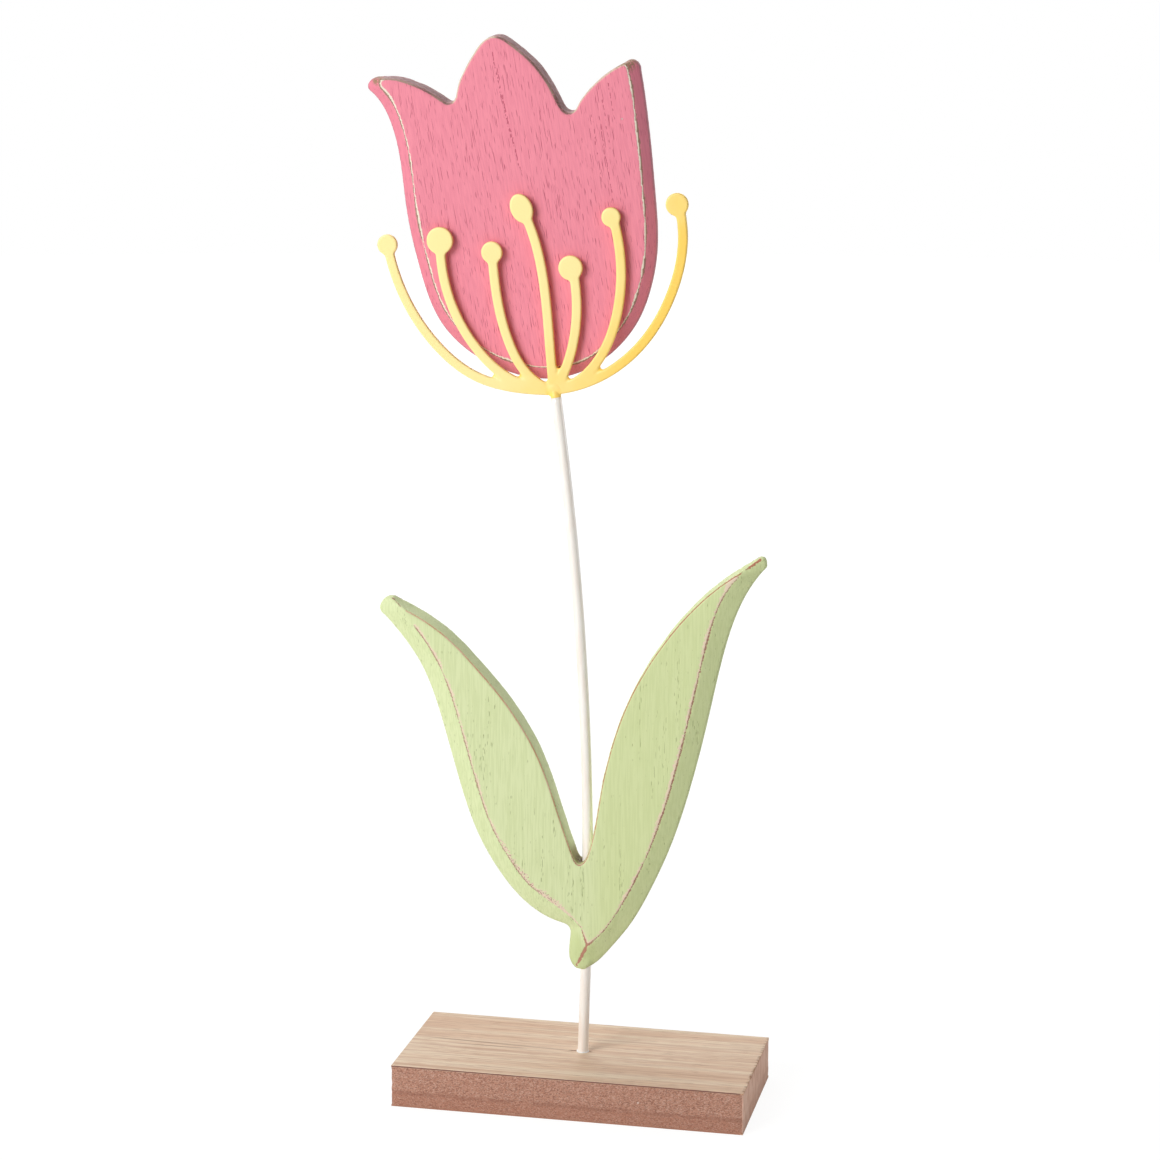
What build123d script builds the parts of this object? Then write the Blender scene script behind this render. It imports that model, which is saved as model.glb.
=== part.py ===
from build123d import *
import os

# A free-standing wooden tulip: a veneered block carries a bent wire stem, a V-shaped pair of leaves is
# threaded on the stem, and a sheet-metal spray of stamens at its upper end holds the petals.
# Millimetres, +Z up, -Y is the front. The origin is the middle of the block's underside.

# Base block
base_length = 150.0
base_depth = 70.0
core_thickness = 16.6
veneer_thickness = 0.7

# Stem: straight out of the block at a slight lean, then one long bow
stem_diameter = 4.2
seat_floor = 3.6            # left of the core under the stem
lean_height = 40.0          # where the straight run ends, above the block
lean_offset = 1.0
stem_rise = 284.5           # upper end, above the block
stem_sway = -13.6           # upper end, sideways from the foot
bore_clearance = 0.1        # around the stem in the core and in the leaves
foot_gap = 0.5              # around the stem in the veneer, filled with glue
glue_height = 0.4           # the glue's rim above the veneer

# Leaves
leaf_thickness = 10.0
leaf_land = 3.0             # square rim left between the front and the back bevel
leaf_foot_height = 37.0     # lowest point of the leaves, above the block
left_leaf_bevel = 8.2
right_leaf_bevel = 7.4

# Flower
petal_thickness = 10.0
petal_land = 3.0
left_petal_bevel = 5.2
right_petal_bevel = 4.0
petal_gap = 1.5             # air between the stamens and the petals

# Stamens
stamen_thickness = 2.0
stalk_width = 4.0
weld_wall = 0.4
weld_length = 5.2

# Studs behind the stamens
stud_diameter = 3.0
stud_floor = 4.0            # left of the petals behind a stud
stud_clearance = 0.1

base_top = 2 * veneer_thickness + core_thickness
stem_top = Vector(stem_sway, 0, base_top + stem_rise)
stem_radius = stem_diameter / 2
stem_seat_depth = core_thickness - seat_floor

# Leaf outlines run counter-clockwise seen from the front, (sideways, up) from the leaves' lowest point.
# The rim is the silhouette, and the face is what the bevel leaves of the front.
left_tip_rim = [(-82.0, 157.0), (-86.4, 155.6), (-88.0, 152.8), (-86.0, 149.4)]
left_tip_face = [(-77.4, 153.5), (-76.0, 151.0)]
left_outer_rim = [
    (-86.0, 149.4), (-79.2, 141.9), (-70.6, 129.8), (-62.0, 108.3), (-53.4, 78.3), (-44.7, 54.8),
    (-36.0, 40.4), (-27.3, 30.2), (-18.5, 23.6), (-10.0, 20.2), (-6.7, 19.0), (-5.4, 16.6),
]
foot_side_rim = [(-5.4, 16.6), (-6.0, 8.6), (-5.4, 3.6), (-3.0, 0.4)]
foot_corner_face = (0.0, 19.6)
foot_side_face = [foot_corner_face, (1.3, 15.9), (2.6, 11.9)]
right_outer_rim = [
    (-3.0, 0.4), (0.3, 0.2), (3.5, 1.7), (12.1, 10.4), (19.8, 20.4), (28.3, 35.8), (35.8, 52.8),
    (45.3, 82.6), (52.1, 111.0), (58.7, 141.2), (66.6, 163.6), (74.7, 175.8),
]
right_tip_rim = [(74.7, 175.8), (75.8, 178.4), (74.7, 180.5), (72.4, 180.0)]
right_tip_face = [(64.6, 172.8), (65.4, 174.9)]
right_inner_edge = [
    (55.2, 167.6), (40.8, 152.9), (28.5, 135.8), (18.1, 115.7), (11.5, 95.7), (7.8, 78.7), (3.7, 55.5),
    (2.2, 50.6),
]
notch_bottom = (-1.0, 47.1)
left_inner_edge = [
    (-3.9, 51.4), (-9.3, 66.8), (-13.6, 79.7), (-20.1, 95.5), (-26.6, 106.6), (-35.2, 118.3),
    (-45.9, 130.2), (-56.6, 140.8), (-65.3, 147.2),
]

# Flower outlines, the same way round, from the stem's upper end
left_petal_tip_rim = [(-75.0, 124.3), (-78.6, 123.6), (-80.0, 121.4), (-78.4, 118.7)]
left_petal_tip_face = [(-72.4, 124.3), (-73.8, 123.2), (-73.2, 120.5)]
left_petal_rim = [
    (-78.4, 118.7), (-74.4, 114.3), (-70.6, 107.0), (-66.5, 91.3), (-64.0, 71.7), (-58.2, 46.4),
    (-49.3, 24.9), (-34.9, 11.6), (-17.9, 4.5), (-3.9, 2.9),
]
right_petal_rim = [
    (-3.9, 2.9), (13.7, 8.0), (25.9, 17.5), (33.6, 28.1), (38.6, 41.5), (40.9, 54.8), (41.0, 66.9),
    (39.8, 81.0), (38.2, 97.0), (36.2, 112.9), (34.5, 124.0), (33.6, 128.8),
]
right_petal_tip_rim = [(33.6, 128.8), (32.8, 131.3), (30.8, 132.6), (28.6, 132.2)]
right_petal_tip_face = [(29.2, 128.6), (28.6, 130.6), (27.2, 131.3)]
right_petal_crown = [(21.9, 128.4), (17.9, 125.4), (13.8, 121.6), (9.7, 116.6), (7.9, 113.2)]
right_petal_notch = (4.8, 111.5)
centre_petal_crown = [
    (2.3, 112.9), (1.1, 114.7), (-2.7, 121.8), (-6.8, 127.7), (-13.1, 134.2), (-19.3, 138.9), (-24.7, 141.6),
    (-27.6, 141.4), (-29.7, 140.4), (-33.8, 135.8), (-37.6, 129.7), (-40.7, 123.1), (-42.0, 117.3),
]
left_petal_notch = (-43.6, 115.2)
left_petal_crown = [(-46.0, 114.7), (-48.5, 116.2), (-52.7, 118.9), (-61.1, 122.5), (-67.4, 124.2)]

# Stamens from left to right, from the stem's upper end: the middle, half sizes and tilt of each head, and the
# line that each stalk follows down to the stem
head_middles = [
    (-70.3, 57.0), (-48.1, 59.2), (-26.2, 54.9), (-13.8, 73.0), (6.7, 49.4), (23.3, 70.3), (50.4, 75.9),
]
head_half_widths = [4.3, 5.6, 4.5, 4.6, 5.1, 4.0, 4.7]
head_half_heights = [4.3, 5.6, 4.5, 6.2, 5.1, 4.0, 4.7]
head_tilts = [0, 0, 0, 25, 0, 0, 0]
stalk_1 = [(-70.0, 55.6), (-63.8, 37.0), (-50.0, 16.6), (-33.1, 3.9), (-14.1, -0.6), (0, -0.9)]
stalk_2 = [(-47.9, 57.0), (-43.4, 33.7), (-32.8, 15.5), (-20.1, 4.2), (-6.4, 0)]
stalk_3 = [(-26.0, 53.5), (-23.4, 33.4), (-19.4, 19.4), (-13.4, 8.0), (-4.0, 0.3)]
stalk_4 = [(-13.0, 72.0), (-6.2, 52.7), (-2.9, 30.0), (-0.8, 5.9), (-0.2, 0)]
stalk_5 = [(8.0, 47.5), (9.3, 30.4), (7.8, 18.1), (4.6, 7.6), (1.1, 0.5)]
stalk_6 = [(24.4, 69.5), (27.6, 50.0), (25.6, 29.1), (18.2, 11.7), (8.6, 2.4), (1.6, -0.5)]
stalk_7 = [(51.5, 74.0), (52.9, 60.8), (48.5, 40.0), (36.9, 19.7), (21.6, 6.6), (8.6, 1.0), (1.1, -0.6)]
stalks = [stalk_1, stalk_2, stalk_3, stalk_4, stalk_5, stalk_6, stalk_7]
stud_heads = [1, 3, 5]      # the stamens that carry a stud behind their heads


def facing_front(x, y, z):
    return Plane(origin=(x, y, z), x_dir=(1, 0, 0), z_dir=(0, -1, 0))


def inset(rim, width):
    """Points a bevel's width inside a rim, one for each point between its ends."""
    face = []
    for before, here, after in zip(rim, rim[1:], rim[2:]):
        run = Vector(*after) - Vector(*before)
        inward = Vector(-run.Y, run.X).normalized()
        face.append(Vector(*here) + inward * width)
    return face


def outline(runs, height):
    """A flat face at a height, bounded by one curve for each run of points."""
    edges = []
    for run in runs:
        points = [Vector(point) + Vector(0, 0, height) for point in run]
        edges.append(Line(*points) if len(points) == 2 else Spline(*points))
    return Face(Wire(edges))


def bevelled_plate(rim_runs, face_runs, thickness, land):
    """A plate whose rim is a square land between two bevels, centred on its own plane."""
    return loft(
        [
            outline(face_runs, -thickness / 2),
            outline(rim_runs, -land / 2),
            outline(rim_runs, land / 2),
            outline(face_runs, thickness / 2),
        ],
        ruled=True,
    )


def stem_path(overrun=0):
    """The stem's middle line: a straight run out of the block, then one arc to the upper end."""
    bend = Vector(lean_offset, 0, base_top + lean_height)
    lean = (bend - Vector(0, 0, base_top)).normalized()
    foot = bend - lean * ((lean_height + veneer_thickness + stem_seat_depth + overrun) / lean.Z)
    return Line(foot, bend) + TangentArc(bend, stem_top, tangent=lean)


def along_stem(radius, overrun=0):
    path = stem_path(overrun)
    section = Plane(origin=path @ 0, z_dir=path % 0) * Circle(radius)
    return sweep(section, path=path)


def make_stem():
    return along_stem(stem_radius)


def make_base():
    """The core and the two veneers, each with its share of the stem's hole."""
    core_plan = Rectangle(base_length, base_depth)
    bottom_veneer = extrude(core_plan, veneer_thickness)
    core = extrude(Pos(0, 0, veneer_thickness) * core_plan, core_thickness)
    top_veneer = extrude(Pos(0, 0, base_top - veneer_thickness) * core_plan, veneer_thickness)
    bore = along_stem(stem_radius + bore_clearance)
    return core - bore, top_veneer - foot_hole(veneer_thickness), bottom_veneer


def foot_hole(height):
    """A round plug where the stem leaves the block, standing on the core."""
    return Pos(0, 0, base_top - veneer_thickness) * extrude(Circle(stem_radius + foot_gap), height)


def make_foot_glue(stem):
    return foot_hole(veneer_thickness + glue_height) - stem


def make_leaves():
    left_face = left_tip_face[-1:] + inset(left_outer_rim[:-2], left_leaf_bevel) + [foot_corner_face]
    right_face = foot_side_face[-1:] + inset(right_outer_rim[2:], right_leaf_bevel) + right_tip_face[:1]
    notch = [right_inner_edge[-1], notch_bottom, left_inner_edge[0]]
    rim_runs = [
        left_tip_rim, left_outer_rim, foot_side_rim, right_outer_rim, right_tip_rim,
        right_tip_rim[-1:] + right_tip_face[-1:] + right_inner_edge, notch,
        left_inner_edge + left_tip_face[:1] + left_tip_rim[:1],
    ]
    face_runs = [
        left_tip_face, left_face, foot_side_face, right_face, right_tip_face,
        right_tip_face[-1:] + right_inner_edge, notch,
        left_inner_edge + left_tip_face[:1],
    ]
    plate = bevelled_plate(rim_runs, face_runs, leaf_thickness, leaf_land)
    placed = facing_front(0, 0, base_top + leaf_foot_height) * plate
    return placed - along_stem(stem_radius + bore_clearance)


def stud_places():
    return [Vector(*head_middles[index]) for index in stud_heads]


def stud_depth():
    return petal_thickness - stud_floor


def make_petals():
    outer_rim = left_petal_rim + right_petal_rim[1:]
    outer_face = [
        left_petal_tip_face[-1], *inset(left_petal_rim, left_petal_bevel),
        *inset(right_petal_rim, right_petal_bevel), right_petal_tip_face[0],
    ]
    right_notch = [right_petal_crown[-1], right_petal_notch, centre_petal_crown[0]]
    left_notch = [centre_petal_crown[-1], left_petal_notch, left_petal_crown[0]]
    crown_runs = [right_notch, centre_petal_crown, left_notch]
    rim_runs = [
        left_petal_tip_rim, outer_rim, right_petal_tip_rim,
        right_petal_tip_rim[-1:] + right_petal_crown, *crown_runs,
        left_petal_crown + left_petal_tip_rim[:1],
    ]
    face_runs = [
        left_petal_tip_face, outer_face, right_petal_tip_face,
        right_petal_tip_face[-1:] + right_petal_crown, *crown_runs,
        left_petal_crown + left_petal_tip_face[:1],
    ]
    plate = bevelled_plate(rim_runs, face_runs, petal_thickness, petal_land)
    for place in stud_places():
        socket_depth = stud_depth() + stud_clearance
        socket = Pos(place.X, place.Y, petal_thickness / 2 - socket_depth)
        plate -= socket * extrude(Circle(stud_diameter / 2 + stud_clearance), socket_depth)
    front = stamen_thickness / 2 + petal_gap
    return facing_front(stem_top.X, front + petal_thickness / 2, stem_top.Z) * plate


def make_stamens(stem):
    spray = Sketch()
    for middle, width, height, tilt in zip(head_middles, head_half_widths, head_half_heights, head_tilts):
        spray += Pos(*middle) * Rot(0, 0, tilt) * Ellipse(width, height)
    for stalk in stalks:
        spray += trace(Spline(*stalk), stalk_width)
    sheet = extrude(spray, stamen_thickness / 2, both=True)
    return facing_front(*stem_top) * sheet - stem


def make_weld(stem, sheet):
    """A bead round the stem's upper end, cut away where the stem and the sheet are."""
    path = stem_path()
    down = path % 1 * -1
    lower_end = stem_top + down * (weld_length - weld_wall)
    upright = Plane(origin=lower_end, z_dir=down * -1)
    bead = upright * extrude(Circle(stem_radius + weld_wall), weld_length)
    return bead - stem - sheet


def make_studs():
    length = petal_gap + stud_depth()
    back = facing_front(stem_top.X, stamen_thickness / 2 + length, stem_top.Z)
    return [
        back * Pos(place.X, place.Y) * extrude(Circle(stud_diameter / 2), length)
        for place in stud_places()
    ]


stem = make_stem()
base_core, base_top_veneer, base_bottom_veneer = make_base()
sheet = make_stamens(stem)
nodes = {
    "base_core": base_core,
    "base_top_veneer": base_top_veneer,
    "base_bottom_veneer": base_bottom_veneer,
    "stem": stem,
    "stem_foot_glue": make_foot_glue(stem),
    "leaf_pair": make_leaves(),
    "stamens": sheet,
    "stem_weld": make_weld(stem, sheet),
    "flower_head": make_petals(),
    "flower_studs": Compound(children=make_studs()),
}

os.makedirs("parts", exist_ok=True)
for name, shape in nodes.items():
    export_step(shape, f"parts/{name}.step")
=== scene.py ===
import math
import bpy
from mathutils import Matrix, Vector, kdtree, noise


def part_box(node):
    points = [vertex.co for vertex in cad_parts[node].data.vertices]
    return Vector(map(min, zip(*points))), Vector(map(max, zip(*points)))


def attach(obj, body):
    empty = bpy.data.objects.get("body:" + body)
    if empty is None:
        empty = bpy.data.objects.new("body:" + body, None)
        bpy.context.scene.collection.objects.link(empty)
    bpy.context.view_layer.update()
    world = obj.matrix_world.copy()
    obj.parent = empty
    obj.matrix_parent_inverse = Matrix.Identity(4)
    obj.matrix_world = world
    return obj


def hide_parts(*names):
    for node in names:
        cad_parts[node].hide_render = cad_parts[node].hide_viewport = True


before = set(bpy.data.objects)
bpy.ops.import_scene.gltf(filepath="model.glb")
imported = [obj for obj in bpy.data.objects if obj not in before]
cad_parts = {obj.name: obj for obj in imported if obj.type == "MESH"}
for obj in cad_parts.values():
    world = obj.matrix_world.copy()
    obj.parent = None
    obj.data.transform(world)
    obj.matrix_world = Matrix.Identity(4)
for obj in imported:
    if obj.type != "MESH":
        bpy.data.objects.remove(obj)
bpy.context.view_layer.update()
mm = 0.001
mergeGap = 0.002 * mm           # points of a node's mesh that lie closer become one
flatAngle = math.radians(30)    # sides that meet more sharply keep a crisp edge
smoothShare = 0.5               # how far one round of smoothing moves a point towards its neighbours
spotCore = 0.4                  # the share of a spot's reach in which it has its full strength


# selecting, editing and modifiers

def pick(piece):
    bpy.ops.object.select_all(action="DESELECT")
    piece.select_set(True)
    bpy.context.view_layer.objects.active = piece


def modify(piece, kind, **settings):
    modifier = piece.modifiers.new(kind.title(), kind)
    for name, value in settings.items():
        setattr(modifier, name, value)
    pick(piece)
    bpy.ops.object.modifier_apply(modifier=modifier.name)


def resurface(piece, shape):
    # small even faces in place of the old ones, softened
    modify(piece, "REMESH", mode="VOXEL", voxel_size=shape["voxel"])
    modify(piece, "SMOOTH", factor=smoothShare, iterations=shape["softening"])


def namePiece(name):
    piece = bpy.context.active_object
    piece.name = name
    piece.data.name = name
    return piece


def settle(piece, scale=(1, 1, 1)):
    # leaves the piece at the origin, unturned and unscaled, with its place in its mesh
    pick(piece)
    piece.scale = scale
    bpy.ops.object.transform_apply(location=True, rotation=True, scale=True)


def copyNode(node, name):
    # a merged copy of a node's mesh, to be worked on; the node itself stays as it is
    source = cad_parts[node]
    piece = bpy.data.objects.new(name, source.data.copy())
    bpy.context.scene.collection.objects.link(piece)
    piece.data.name = name
    piece.data.materials.clear()
    pick(piece)
    bpy.ops.object.mode_set(mode="EDIT")
    bpy.ops.mesh.select_all(action="SELECT")
    bpy.ops.mesh.remove_doubles(threshold=mergeGap)
    bpy.ops.object.mode_set(mode="OBJECT")
    return piece


def finishPiece(piece, slot, material, *nodes):
    piece.data.materials.clear()
    piece.data.materials.append(material)
    pick(piece)
    bpy.ops.object.shade_smooth()
    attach(piece, "root")
    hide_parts(*nodes)
    print("made", piece.name, len(piece.data.polygons), "faces")


def wander(place, size, seed=0.0):
    # smooth noise from -1 to 1, over a size in metres
    return noise.noise(place / size + Vector((seed, seed * 1.7, seed * 0.6)))


# materials

def tone(red, green, blue):
    # a screen colour as the linear one that shaders take
    shares = [value / 255 for value in (red, green, blue)]
    return tuple(s / 12.92 if s < 0.04045 else ((s + 0.055) / 1.055) ** 2.4 for s in shares) + (1.0,)


class NodeSheet:
    def __init__(self, owner):
        owner.use_nodes = True
        self.tree = owner.node_tree

    def add(self, kind, inputs=None, **settings):
        node = self.tree.nodes.new("ShaderNode" + kind)
        for name, value in settings.items():
            setattr(node, name, value)
        for name, value in (inputs or {}).items():
            self.feed(node.inputs[name], value)
        return node

    def feed(self, socket, value):
        if isinstance(value, bpy.types.NodeSocket):
            self.tree.links.new(value, socket)
        else:
            socket.default_value = value

    def math(self, operation, first, second=0.0):
        node = self.add("Math", operation=operation)
        self.feed(node.inputs[0], first)
        self.feed(node.inputs[1], second)
        return node.outputs[0]

    def plus(self, first, second):
        return self.math("ADD", first, second)

    def minus(self, first, second):
        return self.math("SUBTRACT", first, second)

    def times(self, first, second):
        return self.math("MULTIPLY", first, second)

    def size(self, value):
        return self.math("ABSOLUTE", value)

    def opposite(self, value):
        return self.minus(1.0, value)

    def larger(self, first, second):
        return self.math("MAXIMUM", first, second)

    def total(self, start, *parts):
        # start, plus each value times its weight
        for value, weight in parts:
            start = self.plus(start, self.times(value, weight))
        return start

    def ramp(self, value, low, high):
        # 0 at low, 1 at high, smooth between them
        node = self.add("MapRange", {"Value": value, "From Min": low, "From Max": high},
                        interpolation_type="SMOOTHSTEP")
        return node.outputs[0]

    def seenPlainly(self):
        # 1 for what the camera, a reflection or clear glass sees, 0 for light that bounces
        path = self.add("LightPath").outputs
        seen = self.larger(path["Is Camera Ray"], path["Is Glossy Ray"])
        return self.larger(seen, path["Is Transmission Ray"])

    def mixShaders(self, share, first, second):
        node = self.add("MixShader", {"Fac": share})
        self.feed(node.inputs[1], first)
        self.feed(node.inputs[2], second)
        return node.outputs[0]


class Finish(NodeSheet):
    def __init__(self, name, roughness, specular=0.5):
        self.material = bpy.data.materials.new(name)
        super().__init__(self.material)
        self.shader = self.tree.nodes["Principled BSDF"]
        self.shader.inputs["Roughness"].default_value = roughness
        self.shader.inputs["Specular IOR Level"].default_value = specular
        spot = self.add("TexCoord").outputs["Object"]
        scaled = self.add("VectorMath", {"Vector": spot, "Scale": 1 / mm}, operation="SCALE")
        self.place = scaled.outputs["Vector"]       # in millimetres
        self.axes = self.add("SeparateXYZ", {"Vector": self.place}).outputs

    def noise(self, size, turn=0.0, detail=2.0, shift=(0, 0, 0)):
        # size is that of a blotch along x, y and z, turn a tilt about y in degrees
        spot = self.add("Mapping", {
            "Vector": self.place, "Scale": size, "Rotation": (0, -math.radians(turn), 0), "Location": shift,
        }, vector_type="TEXTURE")
        node = self.add("TexNoise", {"Vector": spot.outputs[0], "Scale": 1.0, "Detail": detail})
        return node.outputs["Fac"]

    def grit(self, size, detail):
        # noise of one size in every direction
        return self.noise((size, size, size), 0, detail)

    def swing(self, field, reach):
        # noise as a swing to both sides of zero
        return self.times(self.minus(field, 0.5), reach)

    def mix(self, share, first, second):
        node = self.add("Mix", data_type="RGBA")
        self.feed(node.inputs[0], share)
        self.feed(node.inputs[6], first)
        self.feed(node.inputs[7], second)
        return node.outputs[2]

    def attribute(self, name):
        return self.add("Attribute", attribute_name=name).outputs["Fac"]

    def under(self, axis, node):
        # how deep a point lies under the nearer of a node's two faces across an axis, in millimetres
        low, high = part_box(node)
        index = "XYZ".index(axis)
        middle = (low[index] + high[index]) / 2 / mm
        half = (high[index] - low[index]) / 2 / mm
        return self.minus(half, self.size(self.minus(self.axes[axis], middle)))

    def done(self, colour, height=None, depth=0.1, roughness=None):
        self.feed(self.shader.inputs["Base Color"], colour)
        if roughness is not None:
            self.feed(self.shader.inputs["Roughness"], roughness)
        if height is not None:
            bump = self.add("Bump", {"Height": height, "Distance": depth * mm})
            self.feed(self.shader.inputs["Normal"], bump.outputs["Normal"])
        return self.material


# plates of painted wood: the petals and the leaves

plateRules = {
    "foldAngle": 0.21, "pointStep": 0.3 * mm, "faceSlack": 0.02 * mm, "squareWall": 0.2,
    "mitreSlack": 0.3 * mm, "wallLevel": 0.7, "faceDepth": 0.3 * mm, "roundShare": 0.45, "wavyFrom": 0.3,
    "sawStretch": Vector((1, 0.35, 1)),
}


def markEdges(piece, middleY, halfThick, shape):
    # points along the plate's edges: ridges between a face and a slope, with the mitres that run down from
    # their ends, and rims, where a wall stands square to a face
    mesh = piece.data
    sides = {}
    for polygon in mesh.polygons:
        for key in polygon.edge_keys:
            sides.setdefault(key, []).append(polygon.normal.copy())
    ridges, rims = [], []
    for key, normals in sides.items():
        if len(normals) != 2 or normals[0].angle(normals[1]) < plateRules["foldAngle"]:
            continue
        start, end = (mesh.vertices[index].co for index in key)
        run = end - start
        steps = max(1, round(run.length / plateRules["pointStep"]))
        points = [start.lerp(end, step / steps) for step in range(steps + 1)]
        heights = [abs(place.y - middleY) for place in (start, end)]
        onFace = min(heights) > halfThick - plateRules["faceSlack"]
        flattest = min(abs(normal.y) for normal in normals)     # 0 is square to the face
        steep = abs(run.z) > shape["mitreSteepness"] * abs(run.x)
        mitre = steep and max(heights) > shape["landHalf"] + plateRules["mitreSlack"]
        if flattest > plateRules["squareWall"] and (onFace or mitre):
            ridges += [point for point in points if point.z > shape["ridgesAbove"]]
        elif onFace:
            rims += [point for point in points if point.z > shape["rimsAbove"]]
    return ridges, rims


def findGaps(places, points, flat=False):
    # the distance from each place to the nearest of the points
    tree = kdtree.KDTree(len(points))
    keep = Vector((1, 0, 1)) if flat else Vector((1, 1, 1))
    for index, point in enumerate(points):
        tree.insert(point * keep, index)
    tree.balance()
    return [tree.find(place * keep)[2] for place in places]


def storeGaps(piece, name, gaps):
    # the finish reads them from the mesh, in millimetres
    attribute = piece.data.attributes.new(name, "FLOAT", "POINT")
    attribute.data.foreach_set("value", [gap / mm for gap in gaps])


def carvePlate(node, name, shape, added=None):
    piece = copyNode(node, name)
    low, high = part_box(node)
    middleY = (low.y + high.y) / 2
    halfThick = (high.y - low.y) / 2
    ridges, rims = markEdges(piece, middleY, halfThick, shape)
    if added:
        added.select_set(True)
        bpy.ops.object.join()
    resurface(piece, shape)
    normals = [vertex.normal.copy() for vertex in piece.data.vertices]
    places = [vertex.co.copy() for vertex in piece.data.vertices]
    depths = [halfThick - abs(place.y - middleY) for place in places]
    ridgeGaps = findGaps(places, ridges)
    rimGaps = findGaps(places, rims, flat=True)
    storeGaps(piece, "rimGap", rimGaps)
    storeGaps(piece, "ridgeGap", [          # above zero on the face, below it on the slope
        gap if depth < shape["slopeFall"] * gap else -gap for gap, depth in zip(ridgeGaps, depths)])
    corners = []
    for place, normal, depth, ridgeGap, rimGap in zip(places, normals, depths, ridgeGaps, rimGaps):
        chip = max(0.0, wander(place, shape["chipSize"]) + shape["chipShare"])
        nearRidge = max(0.0, 1 - ridgeGap / shape["chipReach"])
        nearRim = max(0.0, 1 - rimGap / shape["rimRound"])
        alongRim = max(0.0, 1 - rimGap / shape["leanReach"])
        move = -normal * chip * shape["chipDepth"] * nearRidge
        across = Vector((normal.x, 0, normal.z))
        roundDepth = plateRules["roundShare"] * shape["rimRound"]
        if across.length < plateRules["wallLevel"]:
            if depth < plateRules["faceDepth"]:             # the face falls away at its rim
                move.y += math.copysign(roundDepth * nearRim ** 2, middleY - place.y)
        else:                                               # the wall: rounded, wavy and not quite square
            if nearRim > plateRules["wavyFrom"]:
                rounded = max(0.0, 1 - depth / shape["rimRound"])
                wave = wander(place * plateRules["sawStretch"], shape["sawSize"], 3) * shape["sawDepth"]
                move += across.normalized() * (wave - roundDepth * rounded ** 2)
            if normal.z > 0:
                pastRim = min(1.0, rimGap / shape["rimRound"])
                halfWall = halfThick + (shape["landHalf"] - halfThick) * pastRim
                backward = min(1.0, max(0.0, (place.y - middleY + halfWall) / (2 * halfWall)))
                lean = shape["wallLean"] * alongRim * (normal.z - shape["leanTurn"] * normal.x)
                move += across.normalized() * lean * backward
        corners.extend(place + move)
    piece.data.vertices.foreach_set("co", corners)
    piece.data.update()
    return piece


# In the looks, lengths are in millimetres. Two numbers under one name are the value at which a mark begins
# and the one at which it is full, such as a depth, a gap or a level of noise.
grainRules = {
    "hairShift": (40, 0, 0), "chainLevels": (0.5, 0.74), "poreSoftness": 0.08, "mottleSize": (18, 18, 26),
    "hairShare": 0.9, "mottleShare": 0.1, "paleLevels": (0.39, 0.61),
}


def woodUnderPaint(finish, look):
    # hairlines along the grain, and pores that gather in chains; gives the colour, pores and hairlines
    tilt = look["grainTilt"]
    hairs = finish.noise(look["hairSize"], tilt, 2, grainRules["hairShift"])
    dashes = finish.noise(look["poreSize"], tilt, 0)
    gather = finish.noise(look["chainSize"], tilt, 1)
    bias = finish.times(finish.ramp(gather, *grainRules["chainLevels"]), look["chainPull"])
    poreFull = look["poreLevel"] + grainRules["poreSoftness"]
    pores = finish.ramp(finish.plus(dashes, bias), look["poreLevel"], poreFull)
    mottling = finish.noise(grainRules["mottleSize"], tilt, 1)
    share = finish.total(0.0, (hairs, grainRules["hairShare"]), (mottling, grainRules["mottleShare"]))
    pale = finish.ramp(share, *grainRules["paleLevels"])
    colour = finish.mix(pale, look["paint"], look["paintPale"])
    return finish.mix(finish.times(pores, look["poreShare"]), colour, look["pore"]), pores, hairs


def nearSpot(finish, spot, reach):
    # 1 at a spot (x, z) of a plate, 0 at its reach
    gap = finish.add("VectorMath", {0: finish.place, 1: (spot[0], 0, spot[1])}, operation="SUBTRACT")
    flat = finish.add("VectorMath", {0: gap.outputs[0], 1: (1, 0, 1)}, operation="MULTIPLY").outputs[0]
    length = finish.add("VectorMath", {0: flat}, operation="LENGTH").outputs["Value"]
    return finish.ramp(length, reach, spotCore * reach)


# flower head

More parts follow.
